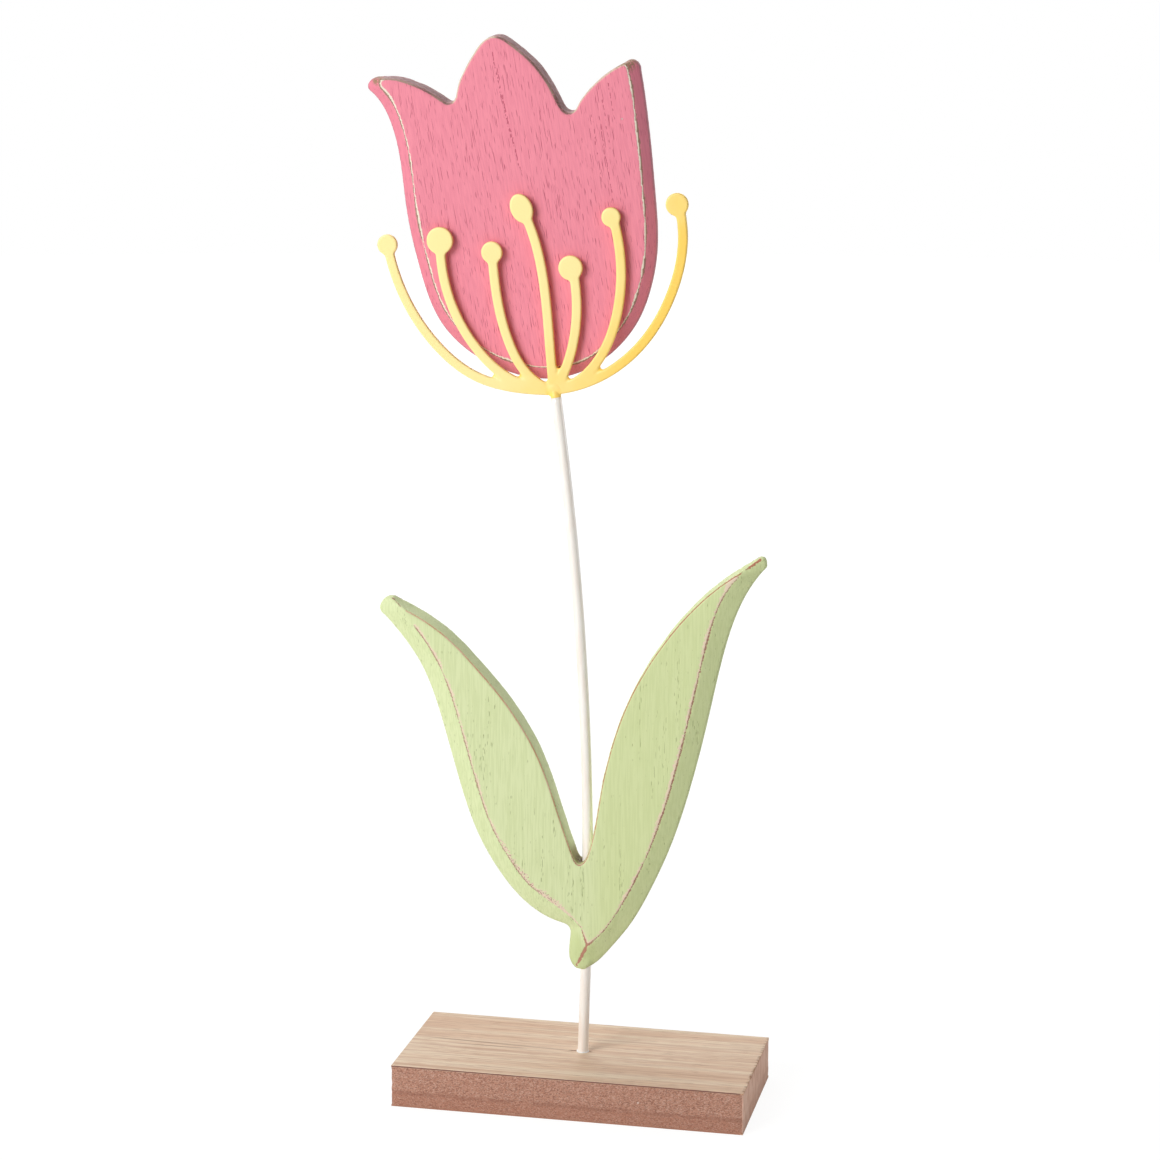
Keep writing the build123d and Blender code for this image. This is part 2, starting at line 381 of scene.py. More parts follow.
flowerShape = {
    "voxel": 0.58 * mm, "softening": 2, "chipSize": 2.2 * mm, "chipShare": 0.1, "chipReach": 1.3 * mm,
    "chipDepth": 0.35 * mm, "sawSize": 5 * mm, "sawDepth": 0.22 * mm, "rimRound": 1.1 * mm,
    "wallLean": 0.8 * mm, "leanReach": 9 * mm, "leanTurn": 0.0, "landHalf": 1.5 * mm,
    "mitreSteepness": 0.62, "slopeFall": 0.2, "ridgesAbove": 0.0, "rimsAbove": 395 * mm,
}
flowerLook = {
    "paint": tone(240, 139, 158), "paintPale": tone(247, 147, 165), "paintOnSlopes": tone(212, 120, 140),
    "pore": tone(192, 80, 106), "poreShare": 0.74, "poreSize": (0.27, 0.27, 5.0), "poreLevel": 0.715,
    "chainSize": (4, 4, 55), "chainPull": 0.05, "hairSize": (0.62, 0.62, 9), "grainTilt": 10,
    "cream": tone(242, 231, 212), "taupe": tone(160, 128, 110), "sawn": tone(182, 146, 146),
    "sawnDark": tone(136, 98, 90), "rim": tone(136, 108, 98), "rimPaleAndLit": tone(226, 206, 182),
    "land": tone(140, 112, 114), "tipWood": tone(160, 126, 100),
    "wornTips": [((14.2, 434.6), 6.0), ((-89.0, 426.4), 3.2)], "chipSpot": ((13.4, 412.0), 0.45),
    "chipTone": tone(214, 196, 188), "litRims": [(-57, -39), (-7, 16)],
    "roughness": 0.6, "specular": 0.35, "bump": 0.09, "hairHeight": 0.7, "rubbedHeight": 0.5,
    "checkShare": 0.8, "slopeDepth": (0.25, 0.6), "slopeShare": 0.3, "raggedSize": 0.7, "patchSize": 8,
    "patchPull": 1.9, "creamLevel": 0.97, "creamSide": (0.12, -0.12), "creamEnd": (-0.24, -0.06),
    "taupeExtra": 0.12, "taupeSide": (-0.15, 0.15), "taupeEnd": (0.06, -0.10), "blotchSize": 1.6,
    "sawnLevels": (0.35, 0.65), "wallGap": (1.1, 0.7), "wallDepth": (0.5, 1.1), "wallShare": 0.9,
    "landDepth": (3.1, 3.5), "landLevels": (0.30, 0.45), "landShare": 0.5, "rimDepth": 0.5,
    "rimWidth": (0.6, 0.2), "rimGap": (1.0, 0.5), "rimLevels": (0.30, 0.44), "paleLevels": (0.44, 0.62),
    "paleShare": 0.35, "litRimFade": 1, "litRimShare": 0.9, "tipDepth": (0.7, 1.1),
    "tipLevels": (0.34, 0.5), "chipDepth": (0.40, 0.12),
}
# checks in the wood: place at the upper end, slope and bend on the way down, upper end, length, half width
flowerChecks = [
    (-40.6, 0.19, 0.0012, 440, 54, 0.28), (-38.8, 0.20, 0.0010, 434, 36, 0.18),
    (3.4, 0.18, 0.0, 416, 44, 0.18), (4.6, 0.17, 0.0, 424, 30, 0.18),
    (0.4, 0.17, 0.0, 416, 34, 0.16), (6.8, 0.20, 0.0, 430, 24, 0.16),
]
checkRules = {
    "waverSize": (2.5, 2.5, 9), "waver": 1.6, "breakSize": (0.8, 0.8, 1.6), "breakLevels": (0.42, 0.6),
    "upperFade": 4, "lowerFade": 8, "side": (0.12, -0.12), "seenWidth": (0.02, 0.1),
}


def drawChecks(finish, checks):
    waver = finish.swing(finish.noise(checkRules["waverSize"], 0, 2), checkRules["waver"])
    whole = finish.ramp(finish.noise(checkRules["breakSize"], 0, 1), *checkRules["breakLevels"])
    total = 0.0
    for sideways, slope, bend, upperEnd, length, half in checks:
        fall = finish.minus(upperEnd, finish.axes["Z"])
        line = finish.plus(sideways, finish.times(fall, finish.plus(slope, finish.times(fall, bend))))
        off = finish.size(finish.plus(finish.minus(finish.axes["X"], line), waver))
        inside = finish.times(finish.ramp(fall, 0, checkRules["upperFade"]),
                              finish.ramp(fall, length, length - checkRules["lowerFade"]))
        thick = finish.times(whole, finish.times(inside, half))
        mark = finish.ramp(finish.minus(off, thick), *checkRules["side"])
        total = finish.larger(total, finish.times(mark, finish.ramp(thick, *checkRules["seenWidth"])))
    return total


def makeFlowerPaint(look):
    finish = Finish("flowerPaint", look["roughness"], look["specular"])
    colour, pores, hairs = woodUnderPaint(finish, look)
    checks = drawChecks(finish, flowerChecks)
    colour = finish.mix(finish.times(checks, look["checkShare"]), colour, look["pore"])

    # a darker tone on the slopes
    depth = finish.under("Y", "flower_head")
    onSlope = finish.ramp(depth, *look["slopeDepth"])
    colour = finish.mix(finish.times(onSlope, look["slopeShare"]), colour, look["paintOnSlopes"])

    # rubbed ridges: cream filler on the face's side, taupe wood on the slope's side
    ragged = finish.grit(look["raggedSize"], 3)
    patches = finish.grit(look["patchSize"], 2)
    width = finish.plus(ragged, finish.times(patches, look["patchPull"]))
    width = finish.minus(width, look["creamLevel"])
    ridgeGap = finish.attribute("ridgeGap")
    rubbed = finish.ramp(finish.minus(ridgeGap, width), *look["creamSide"])
    rubbed = finish.times(rubbed, finish.ramp(ridgeGap, *look["creamEnd"]))
    taupeWidth = finish.plus(width, look["taupeExtra"])
    scraped = finish.ramp(finish.plus(ridgeGap, taupeWidth), *look["taupeSide"])
    scraped = finish.times(scraped, finish.ramp(ridgeGap, *look["taupeEnd"]))
    colour = finish.mix(scraped, colour, look["taupe"])
    colour = finish.mix(rubbed, colour, look["cream"])

    # sawn crown and land: bare wood, darkest along the front rim
    rimGap = finish.attribute("rimGap")
    blotches = finish.ramp(finish.grit(look["blotchSize"], 3), *look["sawnLevels"])
    sawn = finish.mix(blotches, look["sawn"], look["sawnDark"])
    onWall = finish.times(finish.ramp(rimGap, *look["wallGap"]), finish.ramp(depth, *look["wallDepth"]))
    colour = finish.mix(finish.times(onWall, look["wallShare"]), colour, sawn)
    onLand = finish.times(finish.ramp(depth, *look["landDepth"]), finish.ramp(ragged, *look["landLevels"]))
    colour = finish.mix(finish.times(onLand, look["landShare"]), colour, look["land"])
    nearFront = finish.ramp(finish.size(finish.minus(depth, look["rimDepth"])), *look["rimWidth"])
    atRim = finish.times(finish.ramp(rimGap, *look["rimGap"]), nearFront)
    atRim = finish.times(atRim, finish.ramp(ragged, *look["rimLevels"]))
    # The rim is paler in random patches and along the stretches that face the lamp on the left; that split
    # into a lit and a shaded rim is painted light and shade.
    pale = finish.times(finish.ramp(patches, *look["paleLevels"]), look["paleShare"])
    fade = look["litRimFade"]
    for leftEnd, rightEnd in look["litRims"]:              # the stretches that face the left
        litStretch = finish.times(finish.ramp(finish.axes["X"], leftEnd - fade, leftEnd + fade),
                               finish.ramp(finish.axes["X"], rightEnd + fade, rightEnd - fade))
        pale = finish.larger(pale, finish.times(litStretch, look["litRimShare"]))
    colour = finish.mix(atRim, colour, finish.mix(pale, look["rim"], look["rimPaleAndLit"]))

    # bare wood at the petals' tips, and one small chip in the face
    for spot, reach in look["wornTips"]:
        worn = finish.ramp(finish.plus(depth, ragged), *look["tipDepth"])
        worn = finish.times(nearSpot(finish, spot, reach), worn)
        worn = finish.times(worn, finish.ramp(ragged, *look["tipLevels"]))
        colour = finish.mix(worn, colour, look["tipWood"])
    chipped = finish.times(nearSpot(finish, *look["chipSpot"]), finish.ramp(depth, *look["chipDepth"]))
    colour = finish.mix(chipped, colour, look["chipTone"])

    height = finish.minus(finish.times(hairs, look["hairHeight"]), finish.larger(pores, checks))
    height = finish.minus(height, finish.times(rubbed, look["rubbedHeight"]))
    return finish.done(colour, height, look["bump"])


flowerHead = carvePlate("flower_head", "flowerHead", flowerShape)
finishPiece(flowerHead, "flower_paint", makeFlowerPaint(flowerLook), "flower_head")


# leaves

leafShape = {
    "voxel": 0.56 * mm, "softening": 2, "chipSize": 2.6 * mm, "chipShare": 0.15, "chipReach": 1.4 * mm,
    "chipDepth": 0.4 * mm, "sawSize": 6 * mm, "sawDepth": 0.12 * mm, "rimRound": 1.0 * mm,
    "wallLean": 0.9 * mm, "leanReach": 30 * mm, "leanTurn": 0.35, "landHalf": 1.5 * mm,
    "mitreSteepness": 0.50, "slopeFall": 0.2, "ridgesAbove": 57.2 * mm, "rimsAbove": 0.0,
    "lipMiddle": Vector((0.3, -2.2, 59.6)) * mm, "lipHalf": Vector((3.6, 0.95, 4.4)) * mm,
    "lipSides": 24, "lipRings": 16,
}
leafLook = {
    "paint": tone(217, 228, 173), "paintPale": tone(226, 236, 184), "paintRight": tone(208, 219, 148),
    "pore": tone(164, 174, 114), "poreShare": 0.85, "poreSize": (0.26, 0.26, 3.2), "poreLevel": 0.8,
    "chainSize": (2.6, 2.6, 60), "chainPull": 0.175, "hairSize": (0.6, 0.6, 12), "grainTilt": 0,
    "bare": tone(164, 108, 94), "halo": tone(244, 220, 198), "line": tone(180, 110, 86),
    "linePale": tone(208, 146, 114), "notch": ((-0.8, 103.6), 9.0), "notchWood": tone(150, 136, 76),
    "torn": tone(92, 70, 54), "tornSpot": ((-0.4, 104.2), 3.6), "foot": ((-2.0, 63.0), 13.0),
    "footWood": tone(188, 128, 110), "footShadeTone": tone(196, 210, 142), "tip": ((71.0, 234.0), 5.0),
    "rubbed": [((63.4, 224.6), 6.0), ((-10.0, 84.0), 13.0)], "covered": ((-75.0, 205.2), 5.5),
    "frayed": ((-26.0, 96.0), 30.0), "roughness": 0.6, "specular": 0.35, "bump": 0.09,
    "hairHeight": 0.4, "bareHeight": 0.7, "rightSide": (0, 12), "rightShare": 0.3,
    "insideDepth": (0.3, 1.0), "footShadeShare": 0.5, "raggedSize": 0.8, "patchSize": 9, "ridgeWaver": 0.35,
    "raggedPull": 1.6, "patchPull": 1.4, "wearLevel": 1.5, "haloPull": 2.2, "haloWidth": 0.6,
    "haloRight": 0.25, "haloRubbed": 0.8, "frayLevel": 0.38, "frayPull": 4, "coveredPull": 2,
    "haloSide": (0.2, -0.2), "haloEnd": (-0.2, 0.0), "haloShare": 0.9, "barePull": 0.55,
    "bareWidth": 0.21, "bareRight": 0.04, "bareFoot": 0.35, "bareRubbed": 0.3, "bareShift": 0.15,
    "bareSide": (0.1, -0.1), "bareShare": 0.78, "bareShareRight": 0.17, "speckSize": 0.35,
    "speckLevels": (0.34, 0.46), "crumbSize": 0.7, "crumbLevels": (0.53, 0.61), "lineDepth": 0.25,
    "lineWidth": (0.29, 0.08), "lineGap": (0.9, 0.5), "lineLevels": (0.30, 0.42), "rimHaloWidth": 0.5,
    "rimHaloShare": 0.7, "faceDepth": (0.45, 0.15), "notchShare": 0.8, "tornDepth": (1.5, 2.6),
    "tornLevels": (0.36, 0.5),
}


def makeLeafPaint(look):
    finish = Finish("leafPaint", look["roughness"], look["specular"])
    colour, pores, hairs = woodUnderPaint(finish, look)
    rightLeaf = finish.ramp(finish.axes["X"], *look["rightSide"])
    colour = finish.mix(finish.times(rightLeaf, look["rightShare"]), colour, look["paintRight"])
    depth = finish.under("Y", "leaf_pair")
    inside = finish.ramp(depth, *look["insideDepth"])
    atFoot = nearSpot(finish, *look["foot"])
    # painted shade: a darker green on the slopes at the foot, where the lip there catches the lamp on the
    # left
    paintedFootShade = finish.times(finish.times(atFoot, inside), look["footShadeShare"])
    colour = finish.mix(paintedFootShade, colour, look["footShadeTone"])

    # where the ridges are worn, and how much
    ragged = finish.grit(look["raggedSize"], 3)
    patches = finish.grit(look["patchSize"], 2)
    ridgeGap = finish.plus(finish.attribute("ridgeGap"), finish.swing(ragged, look["ridgeWaver"]))
    covered = nearSpot(finish, *look["covered"])
    rubbed = finish.larger(*[nearSpot(finish, *spot) for spot in look["rubbed"]])
    frayed = nearSpot(finish, *look["frayed"])
    atTip = nearSpot(finish, *look["tip"])
    footOrTip = finish.larger(atFoot, atTip)
    wear = finish.total(-look["wearLevel"], (ragged, look["raggedPull"]), (patches, look["patchPull"]))

    # a pale halo on the face's side of a ridge
    fraying = finish.times(finish.minus(ragged, look["frayLevel"]), look["frayPull"])
    haloWidth = finish.total(
        look["haloWidth"], (wear, look["haloPull"]), (rightLeaf, look["haloRight"]),
        (finish.larger(atFoot, rubbed), look["haloRubbed"]), (frayed, fraying),
        (covered, -look["coveredPull"]))
    halo = finish.ramp(finish.minus(ridgeGap, haloWidth), *look["haloSide"])
    halo = finish.times(halo, finish.ramp(ridgeGap, *look["haloEnd"]))
    colour = finish.mix(finish.times(halo, look["haloShare"]), colour, look["halo"])

    # a broken line of bare wood on the slope, and crumbs of it in the halo where the ridge is frayed
    bareWidth = finish.total(
        look["bareWidth"], (wear, look["barePull"]), (rightLeaf, look["bareRight"]),
        (footOrTip, look["bareFoot"]), (rubbed, -look["bareRubbed"]), (covered, -look["coveredPull"]))
    bareGap = finish.size(finish.plus(ridgeGap, look["bareShift"]))
    bare = finish.ramp(finish.minus(bareGap, bareWidth), *look["bareSide"])
    specks = finish.ramp(finish.grit(look["speckSize"], 1), *look["speckLevels"])
    bare = finish.times(bare, finish.larger(specks, footOrTip))
    crumbs = finish.ramp(finish.grit(look["crumbSize"], 1), *look["crumbLevels"])
    bare = finish.larger(bare, finish.times(finish.times(halo, frayed), crumbs))
    bareColour = finish.mix(atFoot, look["bare"], look["footWood"])
    bareColour = finish.mix(atTip, bareColour, look["line"])
    bareShare = finish.total(look["bareShare"], (finish.larger(rightLeaf, atFoot), look["bareShareRight"]))
    colour = finish.mix(finish.times(bare, bareShare), colour, bareColour)

    # thin line along the square inner edges, paler on the left leaf, which is rubbed on its face too
    rimGap = finish.attribute("rimGap")
    nearFront = finish.ramp(finish.size(finish.minus(depth, look["lineDepth"])), *look["lineWidth"])
    line = finish.times(finish.ramp(rimGap, *look["lineGap"]), nearFront)
    line = finish.times(line, finish.ramp(ragged, *look["lineLevels"]))
    atNotch = nearSpot(finish, *look["notch"])
    lineColour = finish.mix(finish.larger(rightLeaf, atNotch), look["linePale"], look["line"])
    colour = finish.mix(line, colour, lineColour)
    rimWidth = finish.plus(wear, look["rimHaloWidth"])
    rimHalo = finish.ramp(finish.minus(rimGap, rimWidth), *look["haloSide"])
    leftFace = finish.times(finish.ramp(depth, *look["faceDepth"]), finish.opposite(rightLeaf))
    rimHalo = finish.times(finish.times(rimHalo, leftFace), look["rimHaloShare"])
    colour = finish.mix(rimHalo, colour, look["halo"])

    # bare wood in the notch, torn where the stem goes in
    stained = finish.times(finish.times(atNotch, inside), look["notchShare"])
    colour = finish.mix(stained, colour, look["notchWood"])
    torn = finish.times(finish.ramp(depth, *look["tornDepth"]), finish.ramp(ragged, *look["tornLevels"]))
    torn = finish.times(nearSpot(finish, *look["tornSpot"]), torn)
    colour = finish.mix(torn, colour, look["torn"])

    height = finish.minus(finish.times(hairs, look["hairHeight"]), pores)
    height = finish.minus(height, finish.times(bare, look["bareHeight"]))
    return finish.done(colour, height, look["bump"])


# a lip of wood in front of the stem, where it leaves the leaves' foot
bpy.ops.object.select_all(action="DESELECT")
bpy.ops.mesh.primitive_uv_sphere_add(
    segments=leafShape["lipSides"], ring_count=leafShape["lipRings"], radius=1,
    location=leafShape["lipMiddle"])
footLip = namePiece("footLip")
settle(footLip, leafShape["lipHalf"])
leafPair = carvePlate("leaf_pair", "leafPair", leafShape, footLip)
finishPiece(leafPair, "leaf_paint", makeLeafPaint(leafLook), "leaf_pair")


# stamens

stamenShape = {"coarse": 0.4 * mm, "fillet": 0.7 * mm, "voxel": 0.31 * mm, "softening": 3}
# The coats are brighter than white in red, the weld's most: a slight painted glow.
stamenLook = {
    "coat": tone(266, 243, 166), "coatDeepAndShaded": tone(268, 222, 98), "weldCoatLit": tone(280, 232, 96),
    "roughness": 0.38, "specular": 0.5, "bump": 0.05, "shinePull": 0.12, "peelSize": 0.9, "cloudSize": 7,
    "cloudPull": 0.3, "lowerShadeHeights": (350, 292), "lowerShadeSpan": (-48, -14), "lowerShare": 0.5,
    "rightShadeSpan": (-10, 40), "rightShare": 0.85, "headHeights": (366, 376), "headsPale": 0.35,
    "edgeDepth": (0.15, 0.7), "edgeShadeShare": 0.6, "shadeAndDriftLevels": (0.0, 0.95), "weldHeights": (303, 299),
    "weldMiddle": -13.6, "weldReach": (4, 2.5), "weldLitShare": 0.7,
}


def makeStamenCoat(look):
    finish = Finish("stamenCoat", look["roughness"], look["specular"])
    sideways = finish.axes["X"]
    upward = finish.axes["Z"]
    peel = finish.grit(look["peelSize"], 2)
    clouds = finish.grit(look["cloudSize"], 3)
    # painted shade: a deeper yellow towards the bottom and the right of the sheet, less of it on the heads
    lower = finish.times(finish.ramp(upward, *look["lowerShadeHeights"]), look["lowerShare"])
    lower = finish.times(lower, finish.ramp(sideways, *look["lowerShadeSpan"]))
    heads = finish.times(finish.ramp(upward, *look["headHeights"]), look["headsPale"])
    rightShade = finish.times(finish.ramp(sideways, *look["rightShadeSpan"]), look["rightShare"])
    rightShade = finish.times(rightShade, finish.opposite(heads))
    # painted shade: a deeper yellow along the sheet's edges and walls, for the orange of its shaded edges
    edges = finish.times(finish.ramp(finish.under("Y", "stamens"), *look["edgeDepth"]), look["edgeShadeShare"])
    drift = finish.swing(clouds, look["cloudPull"])
    # the painted shade, plus drifting clouds of a deeper coat
    shadeAndDrift = finish.plus(finish.plus(lower, rightShade), finish.plus(edges, drift))
    colour = finish.mix(finish.ramp(shadeAndDrift, *look["shadeAndDriftLevels"]), look["coat"], look["coatDeepAndShaded"])
    # painted light: the lower part of the weld bead gets a brighter, more orange coat, brighter than white,
    # on its shaded side
    weldGap = finish.size(finish.minus(sideways, look["weldMiddle"]))
    weld = finish.times(finish.ramp(upward, *look["weldHeights"]), finish.ramp(weldGap, *look["weldReach"]))
    colour = finish.mix(finish.times(weld, look["weldLitShare"]), colour, look["weldCoatLit"])
    shine = finish.plus(finish.swing(clouds, look["shinePull"]), look["roughness"])
    return finish.done(colour, peel, look["bump"], shine)


stamenCoat = makeStamenCoat(stamenLook)
stamenSpray = copyNode("stamens", "stamenSpray")
for swell in (stamenShape["fillet"], -stamenShape["fillet"]):
    # out and back in again, so that the forks keep a fillet
    modify(stamenSpray, "REMESH", mode="VOXEL", voxel_size=stamenShape["coarse"])
    modify(stamenSpray, "DISPLACE", strength=swell, mid_level=0.0)
resurface(stamenSpray, stamenShape)
finishPiece(stamenSpray, "stamen_coat", stamenCoat, "stamens")


# stem

stemShape = {
    "radius": 2.25 * mm, "sides": 40, "seat": 4.3 * mm,
    "leanStart": Vector((0.1 * mm, 0, 18 * mm)), "leanEnd": Vector((1.15 * mm, 0, 58 * mm)),
    "top": Vector((-13.35 * mm, 0, 302.5 * mm)), "straightRings": 24, "arcRings": 120,
    "shortOfTop": 3.8 * mm, "mergeGap": 0.01 * mm,
}
# Both paints are a little brighter than white: painted light that flattens the fall of the stem's shading.
stemLook = {
    "paint": tone(261, 256, 249), "paintWarm": tone(258, 247, 236), "roughness": 0.3, "specular": 0.8,
    "lacquer": 1.0, "bump": 0.08, "runSize": (1.6, 1.6, 14), "peelSize": (0.7, 0.7, 1.1),
    "warmLevels": (0.35, 0.7), "runHeight": 0.7, "peelHeight": 0.3,
}


def makeStemPaint(look):
    finish = Finish("stemPaint", look["roughness"], look["specular"])
    finish.shader.inputs["Coat Weight"].default_value = look["lacquer"]
    finish.shader.inputs["Coat Roughness"].default_value = look["roughness"]
    runs = finish.noise(look["runSize"], 0, 3)
    peel = finish.noise(look["peelSize"], 0, 2)
    colour = finish.mix(finish.ramp(runs, *look["warmLevels"]), look["paint"], look["paintWarm"])
    height = finish.total(0.0, (runs, look["runHeight"]), (peel, look["peelHeight"]))
    return finish.done(colour, height, look["bump"])


lean = (stemShape["leanEnd"] - stemShape["leanStart"]).normalized()
leanTurn = math.atan2(lean.x, lean.z)
footPlace = stemShape["leanEnd"] - lean * ((stemShape["leanEnd"].z - stemShape["seat"]) / lean.z)
chord = stemShape["top"] - stemShape["leanEnd"]
towardMiddle = Vector((-lean.z, 0, lean.x))
arcRadius = chord.length_squared / (2 * chord.dot(towardMiddle))
arcMiddle = stemShape["leanEnd"] + towardMiddle * arcRadius
arcTurn = 2 * math.asin(chord.length / (2 * arcRadius)) - stemShape["shortOfTop"] / arcRadius

bpy.ops.object.select_all(action="DESELECT")
bpy.ops.mesh.primitive_circle_add(
    vertices=stemShape["sides"], radius=stemShape["radius"], fill_type="NGON",
    location=footPlace, rotation=(0, leanTurn, 0))
stemRod = namePiece("stemRod")
settle(stemRod)
bpy.ops.object.mode_set(mode="EDIT")
bpy.ops.mesh.select_all(action="SELECT")
ringStep = (stemShape["leanEnd"] - footPlace) / stemShape["straightRings"]
for ring in range(stemShape["straightRings"]):
    bpy.ops.mesh.extrude_region_move(TRANSFORM_OT_translate={"value": ringStep})
bpy.ops.mesh.spin(steps=stemShape["arcRings"], angle=arcTurn, center=arcMiddle, axis=(0, 1, 0))
bpy.ops.mesh.select_all(action="SELECT")
bpy.ops.mesh.remove_doubles(threshold=stemShape["mergeGap"])
bpy.ops.mesh.normals_make_consistent(inside=False)
bpy.ops.object.mode_set(mode="OBJECT")
finishPiece(stemRod, "stem_paint", makeStemPaint(stemLook), "stem")


# weld bead at the stem's upper end

weldShape = {
    "sides": 48, "rings": 18, "length": 5.6 * mm, "radius": 2.2 * mm, "straight": 1.6 * mm, "slant": 8,
    "sink": 1.3 * mm, "aboveTop": 0.9 * mm, "skirtShift": Vector((0, -0.5, -0.6)) * mm,
    "skirtHalf": Vector((3.6, 0.75, 3.2)) * mm, "skirtRings": 24, "voxel": 0.15 * mm, "softening": 8,
}
upward = (stemShape["top"] - arcMiddle).cross(Vector((0, 1, 0))).normalized()
upward = upward if upward.z > 0 else -upward
weldFoot = stemShape["top"] - upward * (weldShape["length"] - weldShape["aboveTop"])
weldTurn = math.atan2(upward.x, upward.z) + math.radians(weldShape["slant"])
bpy.ops.object.select_all(action="DESELECT")
bpy.ops.mesh.primitive_uv_sphere_add(
    segments=weldShape["sides"], ring_count=weldShape["skirtRings"], radius=1,
    location=stemShape["top"] + weldShape["skirtShift"])
weldSkirt = namePiece("weldSkirt")
settle(weldSkirt, weldShape["skirtHalf"])
bpy.ops.object.select_all(action="DESELECT")
bpy.ops.mesh.primitive_circle_add(
    vertices=weldShape["sides"], radius=weldShape["radius"], fill_type="NGON",
    location=weldFoot, rotation=(0, weldTurn, 0))
weldBead = namePiece("weldBead")
settle(weldBead)
bpy.ops.object.mode_set(mode="EDIT")
bpy.ops.mesh.select_all(action="SELECT")
lastRadius = weldShape["radius"]
lastSink = 0.0
dome = weldShape["length"] - weldShape["straight"]
for ring in range(1, weldShape["rings"]):
    # straight at first, then a dome that leans back into the sheet
    rise = weldShape["length"] * ring / weldShape["rings"]
    domeShare = max(0.0, rise - weldShape["straight"]) / dome
    radius = weldShape["radius"] * math.sqrt(1 - domeShare ** 2)
    sink = weldShape["sink"] * domeShare
    step = upward * weldShape["length"] / weldShape["rings"] + Vector((0, sink - lastSink, 0))
    bpy.ops.mesh.extrude_region_move(TRANSFORM_OT_translate={"value": step})
    ratio = radius / lastRadius
    middle = weldFoot + upward * rise + Vector((0, sink, 0))
    bpy.ops.transform.resize(value=(ratio, ratio, ratio), center_override=middle)
    lastRadius, lastSink = radius, sink
bpy.ops.mesh.select_all(action="SELECT")
bpy.ops.mesh.normals_make_consistent(inside=False)
bpy.ops.object.mode_set(mode="OBJECT")
weldSkirt.select_set(True)
bpy.ops.object.join()
resurface(weldBead, weldShape)
finishPiece(weldBead, "stamen_coat", stamenCoat, "stem_weld")


# base block: fibreboard core between two veneers

coreShape = {
    "voxel": 0.75 * mm, "softening": 1, "edge": 0.9 * mm, "cornerReach": 1.8 * mm,
    "cornerChip": 0.4 * mm, "chipSize": 2.5 * mm,
}
coreLook = {
    "board": tone(196, 145, 124), "fleck": tone(214, 174, 156), "fibre": tone(132, 84, 68),
    "seam": tone(146, 98, 82), "seamHeight": 6.2, "lower": tone(178, 120, 98),
    "end": tone(235, 198, 179), "endDark": tone(221, 178, 156), "dot": ((30.9, 10.3), 0.5),
    "dotTone": tone(232, 214, 204), "roughness": 0.85, "specular": 0.2, "bump": 0.15,
    "fleckSize": (0.56, 0.56, 0.36), "fleckLevels": (0.48, 0.64), "fibreSize": (0.68, 0.68, 0.38),
    "fibreShift": (9, 4, 0), "fibreLevels": (0.48, 0.64), "fibreShare": 0.65, "driftSize": (9, 9, 4),
    "seamWaver": 2.4, "lowerFade": (2.0, -1.2), "lowerShare": 0.3, "seamWidth": (1.3, 0.2),
    "seamLevels": (0.32, 0.52), "seamShare": 0.4, "endDepth": (0.6, 0.2), "endDustAndLight": 0.88, "dustAndLightBelow": 0.3,
    "dustAndLightSpan": (-60, 60), "leastDustAndLight": 0.2, "smearSize": (3.5, 3.5, 9), "smearShift": (5, 0, 0),
    "smearLevels": (0.38, 0.62), "endFlatness": 0.7,
}
veneerShape = {
    "cellsX": 75, "cellsY": 230, "fray": 1.3 * mm, "toothSize": 0.9 * mm, "frayMiddle": -14 * mm,
    "frayReach": 34 * mm, "wave": 0.12 * mm, "waveSize": 9 * mm, "hole": 2.6 * mm,
    "tearHalfLength": 5.6 * mm, "tearHalfWidth": 0.5 * mm, "tearMiddle": -1.0 * mm, "holeSides": 40,
    "rimSlack": 0.1 * mm, "leastWear": 0.25, "toothShare": 0.1,
}
veneerLook = {
    "wood": tone(234, 202, 173), "pale": tone(247, 226, 200), "grain": tone(196, 150, 124),
    "streak": tone(186, 132, 104), "pore": tone(164, 118, 94), "edge": tone(136, 96, 86),
    "endEdge": tone(208, 164, 136), "frayed": tone(150, 104, 80), "roughness": 0.55, "specular": 0.1,
    "bump": 0.12, "threadHeight": 0.5, "bandSize": (150, 6, 6), "bandLevels": (0.36, 0.62),
    "streakWaver": 1.0, "leftFade": 12, "rightFade": 8, "streakLevels": (0.34, 0.5),
    "streakWidth": (0.8, 0.3), "streakShare": 0.65, "frayDepth": (1.4, 0.4), "frayLevels": (0.46, 0.56),
    "frayShare": 0.6, "edgeDepth": (0.03, 0.15), "endDepth": (1.6, 1.0),
}
# the veneer's grain, in the order in which it is laid over the wood: size, shift across the grain, detail,
# levels, share and colour
veneerGrain = {
    "threads": ((60, 0.9, 0.9), 13, 2, (0.44, 0.66), 0.40, "grain"),
    "fibres": ((12, 0.36, 0.36), 41, 1, (0.46, 0.66), 0.45, "grain"),
    "lines": ((110, 1.6, 1.6), 29, 1, (0.60, 0.70), 0.33, "streak"),
    "pores": ((8.0, 0.5, 0.5), 0, 0, (0.72, 0.80), 0.6, "pore"),
}
# dark lines in the veneer: place across the grain at the stem, slope along it, left and right end
veneerStreaks = [(-0.3, -0.042, -75, -3), (-1.6, 0.018, -62, -20)]


